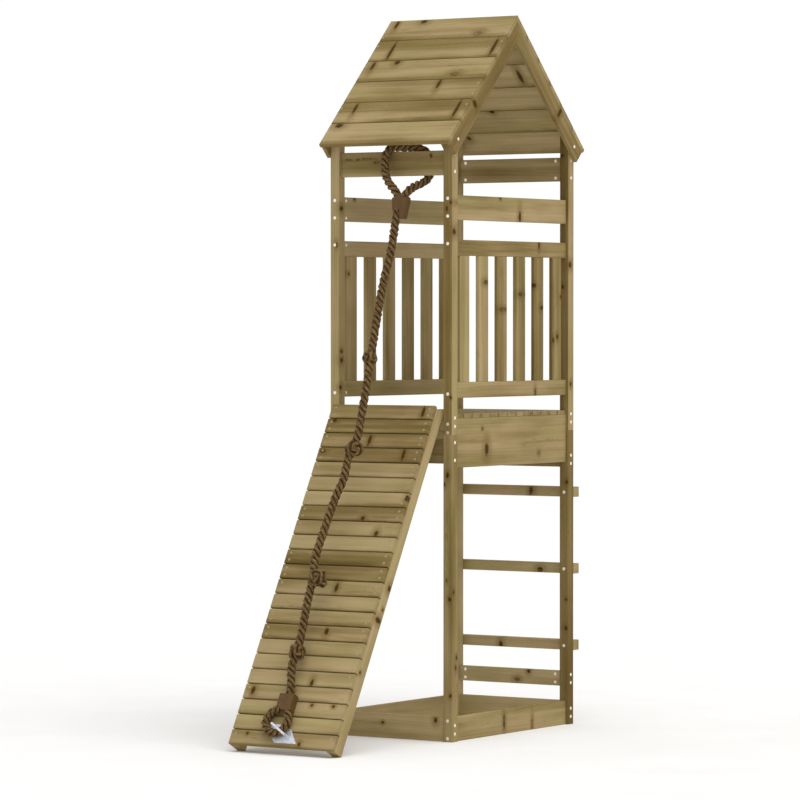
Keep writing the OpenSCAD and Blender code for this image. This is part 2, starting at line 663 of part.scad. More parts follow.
// Slope of the upper clamp's two top faces in degrees; a strand leaves each of them square
clamp_slope = 30;
module rope_noose() color(rope_brown) in_place() {
  line = curve(noose_route, 3);
  side = [-sin(clamp_slope), 0, 0];
  rise = [0, 0, cos(clamp_slope)];
  tube(line, [for (p = line) rope_r], rope_sides, side + rise, side - rise);
}
module rope_run() color(rope_brown) in_place()
  tube(run_line, [for (p = run_line) rope_r + knot_swell(p)], rope_sides, -up, -up_ramp);
module rope_eye() color(rope_brown) in_place() {
  places = [for (q = eye_route) let (r = ramp_pt(ramp_l - q[1], eye_h)) [q[0], r[0], r[1]]];
  line = curve(places, 3);
  tube(line, [for (p = line) rope_r], rope_sides, unit([-1, 0, 0] - up_ramp), up_ramp);
}

// Clamps: moulded blocks that hold the two strands of the noose and of the eye
clamp_shoulder_l = 20;
clamp_tail_w = 11;
clamp_rise = strand_x * tan(clamp_slope);
module upper_clamp() color(clamp_brown) in_place()
  translate([noose_x, noose_y, noose_z]) rotate([90, 0, 0]) linear_extrude(clamp_t, center = true) polygon([
    [-clamp_w / 2, -clamp_rise],
    [0, clamp_rise],
    [clamp_w / 2, -clamp_rise],
    [clamp_w / 2, -clamp_shoulder_l],
    [clamp_tail_w, -upper_clamp_l],
    [0, -upper_clamp_l],
    [0, -clamp_mouth_l],
    [-clamp_w / 2, -clamp_mouth_l]
  ]);
module lower_clamp() color(clamp_brown) in_place()
  on_ramp(eye_h) translate([eye_x, eye_up, 0]) linear_extrude(clamp_t, center = true) polygon([
    [-clamp_w / 2, clamp_cut],
    [clamp_cut - clamp_w / 2, 0],
    [clamp_w / 2, 0],
    [clamp_w / 2, lower_clamp_l],
    [-clamp_w / 2, lower_clamp_l]
  ]);

lower_post(left, front);  // front_left_lower_post
lower_post(right, front);  // front_right_lower_post
lower_post(left, back);  // back_left_lower_post
lower_post(right, back);  // back_right_lower_post
upper_post(left, front);  // front_left_upper_post
upper_post(right, front);  // front_right_upper_post
upper_post(left, back);  // back_left_upper_post
upper_post(right, back);  // back_right_upper_post
base_x_board(front);  // front_base_board
base_x_board(back);  // back_base_board
base_y_board(left);  // left_base_board
base_y_board(right);  // right_base_board
ladder_brace();
ladder_rung(0);  // low_rung
ladder_rung(1);  // middle_rung
ladder_rung(2);  // high_rung
deck_board(left);  // left_deck_board
deck_board(right);  // right_deck_board
deck_rail(front);  // front_deck_rail
deck_rail(back);  // back_deck_rail
front_deck_board();
back_lower_rail();
deck_planks();
side_rail(left);  // left_side_rail
side_rail(right);  // right_side_rail
top_rail(front);  // front_top_rail
top_rail(back);  // back_top_rail
panel_top_rail(left);  // left_panel_top_rail
panel_bottom_rail(left);  // left_panel_bottom_rail
panel_slats(left);  // left_panel_slats
panel_top_rail(right);  // right_panel_top_rail
panel_bottom_rail(right);  // right_panel_bottom_rail
panel_slats(right);  // right_panel_slats
barge(left, front);  // front_left_barge
barge(right, front);  // front_right_barge
barge(left, back);  // back_left_barge
barge(right, back);  // back_right_barge
roof_planks(front);  // front_roof_planks
roof_planks(back);  // back_roof_planks
stringer(left);  // left_stringer
stringer(right);  // right_stringer
ramp_planks();
rope_noose();
upper_clamp();
rope_run();
lower_clamp();
rope_eye();
eye_plate();
frame_bolts();
barrel_nuts();
rung_screws();
barge_screws();
roof_screws();
deck_screws();
panel_screws();
ramp_screws();
ramp_fixing_screws();
plate_screws();
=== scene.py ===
import bmesh
import bpy
import math
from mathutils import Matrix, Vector


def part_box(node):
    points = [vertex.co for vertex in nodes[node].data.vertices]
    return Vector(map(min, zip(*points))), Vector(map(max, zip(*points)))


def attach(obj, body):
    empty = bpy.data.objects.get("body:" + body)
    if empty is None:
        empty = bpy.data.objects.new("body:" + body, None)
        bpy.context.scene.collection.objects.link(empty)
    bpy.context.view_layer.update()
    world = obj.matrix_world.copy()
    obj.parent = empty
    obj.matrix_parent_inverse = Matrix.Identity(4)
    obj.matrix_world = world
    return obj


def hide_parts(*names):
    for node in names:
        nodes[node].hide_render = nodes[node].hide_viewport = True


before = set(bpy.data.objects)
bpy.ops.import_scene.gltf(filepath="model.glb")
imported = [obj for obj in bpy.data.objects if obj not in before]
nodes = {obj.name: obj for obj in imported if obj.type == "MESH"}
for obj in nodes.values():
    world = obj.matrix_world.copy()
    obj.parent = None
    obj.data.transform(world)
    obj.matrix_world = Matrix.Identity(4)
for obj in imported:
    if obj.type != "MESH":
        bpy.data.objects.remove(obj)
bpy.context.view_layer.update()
scene = bpy.context.scene
scene.view_settings.view_transform = "Standard"
X, Y, Z = Vector((1, 0, 0)), Vector((0, 1, 0)), Vector((0, 0, 1))

# Tower frame: x from the middle of the tower, y from the front faces of the posts
FRONT_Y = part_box("front_left_lower_post")[0].y


def at(x, y, z):
    """A point of the tower frame, given in millimetres, in the row frame."""
    return Vector((x / 1000, y / 1000 + FRONT_Y, z / 1000))


# Camera, fitted to the photograph
PHOTO_PIXELS = 800
FOCAL_PIXELS = 4202.7
camera = bpy.data.objects.new("camera", bpy.data.cameras.new("camera"))
scene.collection.objects.link(camera)
camera.data.sensor_width = 36
camera.data.lens = camera.data.sensor_width * FOCAL_PIXELS / PHOTO_PIXELS
camera.data.clip_end = 200
camera.location = at(6574.8, -9958.0, 1189.0)
pitch = math.radians(1.0844)
ahead = Vector((-0.54915, 0.83573, 0)).normalized() * math.cos(pitch) - Z * math.sin(pitch)
camera.rotation_euler = ahead.to_track_quat("-Z", "Y").to_euler()
scene.camera = camera

# Ramp, as in the CAD source: s down the slope and h out from the stringers, in millimetres
RAMP = math.radians(61)
RAMP_BITE = 12
RAMP_OVERHANG = 8
RAMP_COUNT = 23
RAMP_GAP = 3.2
STRINGER_D = 36
RAMP_PLANK_T = 13
RAMP_TOP_Y = RAMP_BITE - STRINGER_D / math.sin(RAMP) + RAMP_OVERHANG * math.cos(RAMP)
RAMP_TOP_Z = 1000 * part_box("left_stringer")[1].z + RAMP_OVERHANG * math.sin(RAMP)
RAMP_L = (RAMP_TOP_Z - STRINGER_D * math.cos(RAMP)) / math.sin(RAMP)
RAMP_PITCH = (RAMP_L + RAMP_GAP) / RAMP_COUNT
UP_RAMP = Vector((0, math.cos(RAMP), math.sin(RAMP)))
OFF_RAMP = Vector((0, -math.sin(RAMP), math.cos(RAMP)))


def on_ramp(x, up, h):
    """A point given by x, the distance up from the ramp's lower end, and the height off the stringers."""
    return at(x, RAMP_TOP_Y, RAMP_TOP_Z) + (up - RAMP_L) / 1000 * UP_RAMP + h / 1000 * OFF_RAMP


# Lines and sweeps
def curve(route, steps):
    """Catmull-Rom points through a route."""
    out, n = [], len(route) - 1
    for i in range(n):
        p0, p1, p2, p3 = route[max(i - 1, 0)], route[i], route[i + 1], route[min(i + 2, n)]
        for k in range(steps):
            t = k / steps
            out.append(0.5 * (2 * p1 + (p2 - p0) * t + (2 * p0 - 5 * p1 + 4 * p2 - p3) * t * t
                              + (3 * p1 - p0 - 3 * p2 + p3) * t ** 3))
    return out + [route[n]]


def line_length(line):
    return sum((b - a).length for a, b in zip(line, line[1:]))


def resample(line, step):
    """Points at even distances along a line, its ends kept."""
    lengths = [0.0]
    for a, b in zip(line, line[1:]):
        lengths.append(lengths[-1] + (b - a).length)
    count = max(2, round(lengths[-1] / step))
    out, i = [], 0
    for k in range(count + 1):
        d = lengths[-1] * k / count
        while i < len(line) - 2 and lengths[i + 1] < d:
            i += 1
        span = lengths[i + 1] - lengths[i]
        out.append(line[i].lerp(line[i + 1], (d - lengths[i]) / span if span else 0))
    return out


def tangents(line, closed):
    n = len(line)
    if closed:
        return [(line[(i + 1) % n] - line[i - 1]).normalized() for i in range(n)]
    return [(line[min(i + 1, n - 1)] - line[max(i - 1, 0)]).normalized() for i in range(n)]


def square_to(vector, way):
    return (vector - vector.dot(way) * way).normalized()


def carried_normals(ways):
    """Normals that turn as little as they can along a line."""
    out = [square_to(Vector((1, 0, 0.1)), ways[0])]
    for way in ways[1:]:
        out.append(square_to(out[-1], way))
    return out


def sweep(bm, uv, line, normals, radius, sides, closed):
    """A tube along a line, with u along it in metres and v round it from the given normals.

    radius is a function of the share of the line and the angle.
    """
    ways = tangents(line, closed)
    rings = []
    for i, (p, way, normal) in enumerate(zip(line, ways, normals)):
        out = square_to(normal, way)
        side = way.cross(out)
        ring = []
        for j in range(sides):
            a = 2 * math.pi * j / sides
            ray = math.cos(a) * out + math.sin(a) * side
            ring.append(bm.verts.new(p + radius(i / len(line), a) * ray))
        rings.append(ring)
    run, n = 0.0, len(line)
    for i in range(n if closed else n - 1):
        near, far = rings[i], rings[(i + 1) % n]
        step = (line[(i + 1) % n] - line[i]).length
        for j in range(sides):
            k = (j + 1) % sides
            face = bm.faces.new((near[j], near[k], far[k], far[j]))
            face.smooth = True
            spots = ((run, j), (run, j + 1), (run + step, j + 1), (run + step, j))
            for loop, (u, v) in zip(face.loops, spots):
                loop[uv].uv = (u, v / sides)
        run += step
    if not closed:
        bm.faces.new(list(reversed(rings[0])))
        bm.faces.new(rings[-1])


# Rope of three strands laid to the left, each of a few yarns; LAID_D is measured over the strands' crests
ROPE_D = 0.021
LAID_D = 0.0245
LAY = 0.054
STRANDS = 3
STRAND_SHARE = 0.44
STRAND_STEP = 0.0025
STRAND_SIDES = 12
YARNS = 4
YARN_PITCH = 0.034
YARN_BULGE = 0.12
SLOW_SWELL, QUICK_SWELL = 0.019, 0.0115
SWELL_BULGE = 0.075


def strand_radius(radius, total, phase):
    """The radius of a strand, with bulges of its yarns and uneven swellings along it."""
    spans = (YARN_PITCH, SLOW_SWELL, QUICK_SWELL)
    twist, slow, quick = (2 * math.pi * max(1, round(total / span)) for span in spans)

    def at_place(share, angle):
        yarn = math.cos(YARNS * angle + twist * share)
        swell = math.sin(slow * share + 2.1 * phase) + 0.9 * math.sin(quick * share + phase)
        return radius * (1 + YARN_BULGE * yarn + SWELL_BULGE * swell)
    return at_place


def lay_strands(bm, uv, line, diameter, closed):
    """Strands wound round a line, each with v = 0 on its outer side."""
    strand_r = STRAND_SHARE * diameter / 2
    offset = diameter / 2 - strand_r
    line = resample(line + line[:1] if closed else line, STRAND_STEP)
    total = line_length(line)
    if closed:
        line = line[:-1]
    ways = tangents(line, closed)
    normals = carried_normals(ways)
    turns, drift = total / LAY, 0.0
    if closed:
        turns = max(1, round(turns))
        back = square_to(normals[-1], ways[0])
        drift = math.atan2(back.dot(ways[0].cross(normals[0])), back.dot(normals[0]))
    last = len(line) if closed else len(line) - 1
    for j in range(STRANDS):
        strand, outs = [], []
        for i, (p, way, normal) in enumerate(zip(line, ways, normals)):
            angle = -2 * math.pi * (turns * i / last + j / STRANDS) - drift * i / last
            outs.append(math.cos(angle) * normal + math.sin(angle) * way.cross(normal))
            strand.append(p + offset * outs[-1])
        sweep(bm, uv, strand, outs, strand_radius(strand_r, total, 1.9 * j), STRAND_SIDES, closed)


def finish_mesh(bm, name, material):
    mesh = bpy.data.meshes.new(name)
    bmesh.ops.recalc_face_normals(bm, faces=bm.faces)
    bm.to_mesh(mesh)
    bm.free()
    piece = bpy.data.objects.new(name, mesh)
    scene.collection.objects.link(piece)
    mesh.materials.append(material)
    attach(piece, "root")
    return piece


def rope_piece(name, line, material, diameter=LAID_D, closed=False):
    bm = bmesh.new()
    lay_strands(bm, bm.loops.layers.uv.new("UVMap"), line, diameter, closed)
    return finish_mesh(bm, name, material)


# Node trees
class Tree:
    """Short ways to add nodes; a value is a socket or a number."""

    def __init__(self, tree):
        self.tree = tree

    def add(self, kind, links=None, **settings):
        node = self.tree.nodes.new(kind)
        for key, value in settings.items():
            setattr(node, key, value)
        for key, value in (links or {}).items():
            self.put(value, node.inputs[key])
        return node

    def put(self, value, socket):
        if isinstance(value, bpy.types.NodeSocket):
            self.tree.links.new(value, socket)
        else:
            socket.default_value = value

    def math(self, op, a, b=0.0, c=0.0, clamp=False):
        return self.add("ShaderNodeMath", {0: a, 1: b, 2: c}, operation=op, use_clamp=clamp).outputs[0]

    def vector(self, op, a, b=(0, 0, 0)):
        node = self.add("ShaderNodeVectorMath", {0: a, 1: b}, operation=op)
        return node.outputs["Value" if op in ("DOT_PRODUCT", "LENGTH") else "Vector"]

    def split(self, vector):
        return self.add("ShaderNodeSeparateXYZ", {0: vector}).outputs

    def join(self, x, y, z):
        return self.add("ShaderNodeCombineXYZ", {0: x, 1: y, 2: z}).outputs[0]

    def noise(self, place, scale=1.0, detail=2.0, roughness=0.5):
        links = {"Vector": place, "Scale": scale, "Detail": detail, "Roughness": roughness}
        return self.add("ShaderNodeTexNoise", links).outputs[0]

    def smooth(self, value, start, end):
        """0 at start and 1 at end."""
        links = {0: value, 1: start, 2: end}
        return self.add("ShaderNodeMapRange", links, interpolation_type="SMOOTHSTEP").outputs[0]

    def mix(self, share, a, b, blend="MIX"):
        node = self.add("ShaderNodeMix", data_type="RGBA", blend_type=blend)
        for socket, value in ((0, share), (6, a), (7, b)):
            self.put(value, node.inputs[socket])
        return node.outputs[2]

    def ramp(self, share, stops, interpolation="LINEAR"):
        node = self.add("ShaderNodeValToRGB", {0: share})
        band = node.color_ramp
        band.interpolation = interpolation
        for i, (place, colour) in enumerate(stops):
            stop = band.elements[i] if i < 2 else band.elements.new(place)
            stop.position = place
            stop.color = colour
        return node.outputs[0]


def srgb(r, g, b):
    """An sRGB colour of 0 to 255 as linear RGBA."""
    def part(c):
        c /= 255
        return c / 12.92 if c <= 0.04045 else ((c + 0.055) / 1.055) ** 2.4
    return (part(r), part(g), part(b), 1.0)


def new_material(name):
    material = bpy.data.materials.new(name)
    material.use_nodes = True
    shader = material.node_tree.nodes["Principled BSDF"]
    return material, Tree(material.node_tree), shader


def dress(name, material):
    data = nodes[name].data
    data.materials.clear()
    data.materials.append(material)


# Rope and clamp materials
def rope_material():
    material, t, shader = new_material("rope_fibre")
    uv = t.add("ShaderNodeUVMap", uv_map="UVMap").outputs[0]
    u, v, _ = t.split(uv)
    place = t.add("ShaderNodeTexCoord").outputs["Object"]
    phase = t.math("MULTIPLY_ADD", v, 2 * math.pi * YARNS, t.math("MULTIPLY", u, 2 * math.pi / YARN_PITCH))
    yarn = t.math("MULTIPLY_ADD", t.math("SINE", phase), 0.5, 0.5)
    # Painted shade: each strand is darker away from its outer side, into the grooves between the strands, and
    # lighter on its crest
    outer = t.math("COSINE", t.math("MULTIPLY", v, 2 * math.pi))
    painted_groove_shade = t.smooth(outer, -0.25, 0.9)
    fuzz = t.noise(place, 600.0, 4.0, 0.65)
    patch = t.noise(place, 90.0, 3.0, 0.6)
    tone = t.math("MULTIPLY", painted_groove_shade, 0.3)
    for part, gain in ((yarn, 0.14), (fuzz, 0.36), (patch, 0.62)):
        tone = t.math("MULTIPLY_ADD", part, gain, tone)
    colour = t.ramp(tone, ((0.21, srgb(26, 16, 5)), (0.5, srgb(60, 42, 21)), (0.8, srgb(94, 72, 41)),
                           (1.0, srgb(138, 112, 73))))
    t.put(colour, shader.inputs["Base Color"])
    t.put(t.math("MULTIPLY_ADD", fuzz, 0.2, 0.7), shader.inputs["Roughness"])
    bump = t.add("ShaderNodeBump", {"Height": t.math("MULTIPLY_ADD", fuzz, 0.7, yarn), "Strength": 0.6,
                                    "Distance": 0.0012})
    t.put(bump.outputs[0], shader.inputs["Normal"])
    shader.inputs["Specular IOR Level"].default_value = 0.15
    return material


def clamp_material():
    material, t, shader = new_material("clamp_plastic")
    place = t.add("ShaderNodeTexCoord").outputs["Object"]
    grain = t.noise(place, 700.0, 3.0, 0.6)
    wear = t.noise(place, 45.0, 3.0, 0.55)
    tone = t.math("MULTIPLY_ADD", grain, 0.3, t.math("MULTIPLY", wear, 0.7))
    colour = t.ramp(tone, ((0.25, srgb(83, 59, 29)), (0.75, srgb(104, 77, 41))))
    t.put(colour, shader.inputs["Base Color"])
    t.put(t.math("MULTIPLY_ADD", grain, 0.25, 0.45), shader.inputs["Roughness"])
    bump = t.add("ShaderNodeBump", {"Height": grain, "Strength": 0.25, "Distance": 0.0004})
    t.put(bump.outputs[0], shader.inputs["Normal"])
    shader.inputs["Specular IOR Level"].default_value = 0.25
    return material


# Rope routes, as in the CAD source; the strands go on a little into the clamps
rope_look = rope_material()
GRIP = 0.006


def held(line):
    first, last = (line[0] - line[1]).normalized(), (line[-1] - line[-2]).normalized()
    return [line[0] + GRIP * first] + line + [line[-1] + GRIP * last]


ROPE_GAP = 1000 * ROPE_D / 2 + 0.3
CLAMP_W = 48
rail_low, rail_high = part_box("front_top_rail")
RAIL_FRONT = 1000 * (rail_low.y - FRONT_Y) - ROPE_GAP
RAIL_BACK = 1000 * (rail_high.y - FRONT_Y) + ROPE_GAP
RAIL_OVER = 1000 * rail_high.z + ROPE_GAP
RAIL_UNDER = 1000 * rail_low.z - ROPE_GAP
NOOSE_X, NOOSE_Y, NOOSE_Z = 60, RAIL_FRONT - 35, RAIL_UNDER - 46
NOOSE_ROUTE = [
    (NOOSE_X - CLAMP_W / 4, NOOSE_Y, NOOSE_Z),
    (40, NOOSE_Y, NOOSE_Z + 13),
    (26.5, NOOSE_Y + 1, NOOSE_Z + 26),
    (9, RAIL_FRONT - 29, RAIL_UNDER - 1),
    (-4, RAIL_FRONT - 22, RAIL_UNDER + 25),
    (-9, RAIL_FRONT - 14, RAIL_UNDER + 53),
    (-9, RAIL_FRONT - 5, RAIL_OVER - 15),
    (5, RAIL_FRONT + 6, RAIL_OVER),
    (34, (RAIL_FRONT + RAIL_BACK) / 2, RAIL_OVER),
    (64, RAIL_BACK - 9, RAIL_OVER),
    (91, RAIL_BACK + 1, RAIL_OVER - 7),
    (104, RAIL_BACK + 5, RAIL_OVER - 27),
    (109, RAIL_BACK + 7, RAIL_UNDER + 43),
    (109, RAIL_BACK + 6, RAIL_UNDER + 20),
    (105, RAIL_BACK - 1, RAIL_UNDER + 3),
    (97, RAIL_BACK - 15, RAIL_UNDER - 9),
    (88, RAIL_FRONT - 4, RAIL_UNDER - 18),
    (80, NOOSE_Y + 11, RAIL_UNDER - 30),
    (NOOSE_X + CLAMP_W / 4, NOOSE_Y, NOOSE_Z),
]
noose_line = curve([at(*p) for p in NOOSE_ROUTE], 6)
noose = rope_piece("rope_noose_strands", held(noose_line), rope_look)
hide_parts("rope_noose")

EYE_X = -10
EYE_UP = 100
EYE_MID = (-24.5, 68)
EYE_R = 35.5
PLATE_T = 3
EYE_H = RAMP_PLANK_T + PLATE_T + ROPE_GAP
CLAMP_CUT = (1000 * ROPE_D + 3) / math.sqrt(2)
EYE_ROUTE = [(EYE_X - (CLAMP_W - CLAMP_CUT) / 2, EYE_UP + CLAMP_CUT / 2)]
for turn in range(130, 381, 25):
    EYE_ROUTE.append((EYE_MID[0] + EYE_R * math.cos(math.radians(turn)),
                      EYE_MID[1] + EYE_R * math.sin(math.radians(turn))))
EYE_ROUTE.append((EYE_X + CLAMP_W / 2 - 1000 * ROPE_D / 2 - 1, EYE_UP))
eye_line = curve([on_ramp(x, up, EYE_H) for x, up in EYE_ROUTE], 6)
eye = rope_piece("rope_eye_strands", held(eye_line), rope_look)
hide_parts("rope_eye")

# Places on the run: share of the way down, then shifts in x and y in millimetres
CLAMP_MOUTH_L = 40
LOWER_CLAMP_L = 48
RUN_PLACES = [
    (0, 0, 0), (0.02, -2, 4), (0.086, -2, 15), (0.151, -6, 18), (0.21, -5, 22), (0.27, 1, 22),
    (0.31, 5, 21), (0.36, 11, 23), (0.409, 14, 25), (0.464, 13, 33), (0.499, 1, 43), (0.521, -7, 40),
    (0.546, -4, 36), (0.569, -4, 34), (0.601, -15, 32), (0.666, -22, 23), (0.722, -24, 12), (0.765, -13, 6),
    (0.815, -11, 3), (0.875, -5, 0), (0.913, -9, 0), (0.946, -12, -1), (0.985, -1, 2), (1, 0, 0),
]
run_top = noose_line[0] - Z * CLAMP_MOUTH_L / 1000
run_end = on_ramp(EYE_X, EYE_UP + LOWER_CLAMP_L, EYE_H)
run_route = [run_top.lerp(run_end, q) + Vector((x / 1000, y / 1000, 0)) for q, x, y in RUN_PLACES]
run_line = curve(run_route, 6)
run = rope_piece("rope_run_strands", held(run_line), rope_look)
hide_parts("rope_run")

KNOT_POINTS = 96


def knot_line(centre, along, size, rise, turn):
    """A closed line of three lobes round the rope, as the turns of an overhand knot show outside."""
    side = square_to(X, along)
    other = along.cross(side)
    out = []
    for i in range(KNOT_POINTS):
        t = 2 * math.pi * i / KNOT_POINTS
        x, y = math.sin(t) + 2 * math.sin(2 * t), math.cos(t) - 2 * math.cos(2 * t)
        c, s = math.cos(turn), math.sin(turn)
        out.append(centre + size * ((c * x - s * y) * side + (s * x + c * y) * other)
                   - rise * math.sin(3 * t) * along)
    return out


# Knots: route point, shift in x, lobe size and rise in millimetres, turn in radians
KNOT_ROPE_D = 0.0225
KNOTS = [
    (6, -1, 4.2, 9.5, 0.4),
    (10, 3, 5.4, 11.0, 1.3),
    (17, 21, 5.9, 12.5, 2.2),
    (20, 1, 4.9, 12.0, 0.9),
]
for number, (i, shift, size, rise, turn) in enumerate(KNOTS, 1):
    way = (run_route[i + 1] - run_route[i - 1]).normalized()
    loop = knot_line(run_route[i] + X * shift / 1000, way, size / 1000, rise / 1000, turn)
    rope_piece(f"rope_knot_{number}", loop, rope_look, KNOT_ROPE_D, True)

CLAMP_EDGE = 0.006
clamp_look = clamp_material()
for name in ("upper_clamp", "lower_clamp"):
    dress(name, clamp_look)
    bevel = nodes[name].modifiers.new("soft_edges", "BEVEL")
    bevel.width = CLAMP_EDGE
    bevel.segments = 5
    bevel.limit_method = "ANGLE"
    bevel.harden_normals = True

# Pine: streaks, growth rings, knots and end grain from a place (along, across, depth) in metres
KNOT_CELL = 0.26
KNOT_ALONG, KNOT_ACROSS = 0.0075, 0.0065
RING_PITCH = 0.0062
FAR_OFF = 9.0


def pine_group():
    group = bpy.data.node_groups.new("pine", "ShaderNodeTree")
    face = group.interface
    for name, kind in (("Place", "Vector"), ("Axis", "Vector"), ("Seed", "Float"), ("Tone", "Float"),
                       ("Chance", "Float"), ("Width", "Float"), ("Marks", "Float"), ("Rim", "Float")):
        face.new_socket(name, in_out="INPUT", socket_type=f"NodeSocket{kind}")
    for name, kind in (("Color", "Color"), ("Roughness", "Float"), ("Normal", "Vector")):
        face.new_socket(name, in_out="OUTPUT", socket_type=f"NodeSocket{kind}")
    t = Tree(group)
    given = t.add("NodeGroupInput").outputs
    place, seed = given["Place"], given["Seed"]
    l, a, d = t.split(place)

    def drawn_out(along, across, shift):
        """The place with the grain's stretch, moved by the seed."""
        return t.join(t.math("MULTIPLY", l, along), t.math("MULTIPLY", a, across),
                      t.math("MULTIPLY_ADD", d, across, t.math("MULTIPLY", seed, shift)))

    # By chance, one round knot in each cell along the board
    u = t.math("MULTIPLY_ADD", seed, 3.17, t.math("DIVIDE", l, KNOT_CELL))
    dice = t.add("ShaderNodeTexWhiteNoise", noise_dimensions="3D",
                 links={"Vector": t.join(t.math("FLOOR", u), t.math("MULTIPLY", seed, 1.71), 0.0)})
    r1, r2, r3 = t.split(dice.outputs["Color"])
    knot_l = t.math("SUBTRACT", t.math("FRACT", u), t.math("MULTIPLY_ADD", r2, 0.6, 0.2))
    knot_a = t.math("SUBTRACT", a, t.math("MULTIPLY", t.math("SUBTRACT", r3, 0.5), given["Width"]))
    size = t.math("MULTIPLY_ADD", dice.outputs["Value"], 0.6, 0.6)
    spot = t.join(t.math("MULTIPLY", knot_l, KNOT_CELL / KNOT_ALONG),
                  t.math("DIVIDE", knot_a, KNOT_ACROSS), 0.0)
    q = t.math("DIVIDE", t.vector("LENGTH", spot), size)
    q = t.math("MULTIPLY_ADD", t.math("GREATER_THAN", r1, given["Chance"]), FAR_OFF, q)

    # The placed knots join in; the rim is ragged and the grain round a knot darker
    q = t.math("MINIMUM", q, given["Marks"])
    ragged = t.math("SUBTRACT", t.noise(drawn_out(90.0, 160.0, 1.0), 1.0, 2.0, 0.6), 0.5)
    core = t.smooth(t.math("MULTIPLY_ADD", ragged, 0.9, q), 1.2, 0.55)
    halo = t.smooth(t.math("MULTIPLY_ADD", ragged, 1.6, q), 3.6, 0.9)

    # Growth rings round a pith beside the board
    pith_a = t.math("SUBTRACT", t.math("FRACT", t.math("MULTIPLY", seed, 1.37)), 0.5)
    pith_a = t.math("MULTIPLY", pith_a, 0.07)
    pith_d = t.math("MULTIPLY_ADD", t.math("FRACT", t.math("MULTIPLY", seed, 2.91)), 0.03, 0.02)
    sway = t.math("SUBTRACT", t.noise(drawn_out(2.3, 5.0, 9.1), 1.0, 1.5), 0.5)
    r = t.vector("LENGTH", t.join(t.math("SUBTRACT", a, pith_a), t.math("ADD", d, pith_d), 0.0))
    r = t.math("MULTIPLY_ADD", sway, 0.022, r)
    r = t.math("MULTIPLY_ADD", halo, 0.0015, r)
    ring = t.math("SINE", t.math("MULTIPLY", r, 2 * math.pi / RING_PITCH))
    late = t.smooth(ring, -0.2, 1.0)

    # Broad bands, streaks, short dashes and blotches along the grain
    band = t.noise(drawn_out(1.1, 26.0, 7.7), 1.0, 2.5, 0.5)
    streak = t.noise(drawn_out(4.0, 130.0, 2.3), 1.0, 2.0, 0.55)
    blotch = t.noise(drawn_out(5.0, 15.0, 3.3))
    fibre = t.noise(drawn_out(16.0, 620.0, 1.0), 1.0, 2.0, 0.6)
    dash = t.smooth(t.noise(drawn_out(36.0, 240.0, 5.9)), 0.58, 0.7)
    dash = t.math("MULTIPLY", dash, t.smooth(t.noise(drawn_out(3.0, 22.0, 4.1)), 0.52, 0.66))
    # Painted shade, with some weathering: each plank of a row darkens towards the edge where Rim reaches 1,
    # which is the lower edge on the ramp and the roof
    rim = t.math("MULTIPLY_ADD", t.math("SUBTRACT", blotch, 0.5), 0.4, given["Rim"])
    rim = t.smooth(rim, 0.78, 1.02)
    tone = given["Tone"]
    for part, middle, gain in ((band, 0.5, 1.1), (streak, 0.5, 0.3), (blotch, 0.5, 0.55), (late, 0.4, 0.07),
                               (dash, 0.0, 0.2), (rim, 0.0, 0.3)):
        tone = t.math("MULTIPLY_ADD", t.math("SUBTRACT", part, middle), gain, tone)
    colour = t.ramp(tone, ((0.0, srgb(184, 163, 121)), (0.35, srgb(163, 142, 101)),
                           (0.65, srgb(135, 115, 72)), (1.0, srgb(104, 85, 44))))
    green = t.smooth(t.noise(drawn_out(3.2, 19.0, 6.7)), 0.42, 0.7)
    colour = t.mix(green, colour, (0.93, 0.985, 0.86, 1), "MULTIPLY")
    shade = t.math("MULTIPLY_ADD", fibre, 0.16, 0.92)
    colour = t.mix(1.0, colour, t.join(shade, shade, shade), "MULTIPLY")
    colour = t.mix(t.math("MULTIPLY", halo, 0.5), colour, srgb(108, 84, 36))
    colour = t.mix(t.math("MULTIPLY", core, 0.96), colour, srgb(70, 45, 3))
    normal = t.add("ShaderNodeNewGeometry").outputs["Normal"]
    end = t.math("POWER", t.math("ABSOLUTE", t.vector("DOT_PRODUCT", normal, given["Axis"])), 8.0)
    colour = t.mix(t.math("MULTIPLY", end, 0.22), colour, srgb(112, 92, 54))

    rough = t.math("MULTIPLY_ADD", fibre, 0.2, 0.62)
    height = t.math("MULTIPLY_ADD", late, 0.4, t.math("MULTIPLY", fibre, 0.6))
    height = t.math("MULTIPLY_ADD", core, -0.5, height)
    bump = t.add("ShaderNodeBump", {"Height": height, "Strength": 0.2, "Distance": 0.0006})
    t.add("NodeGroupOutput", {"Color": colour, "Roughness": rough, "Normal": bump.outputs[0]})
    return group


PINE = pine_group()
KNOT_CHANCE = 0.15
# The share of a mark's size along at which its dark core ends
KNOT_RIM = 0.8
# Steps that give each board of a set, and each plank of a row, a grain of its own
SEED_STEP = 0.617
PLANK_SEED_STEP = 0.731


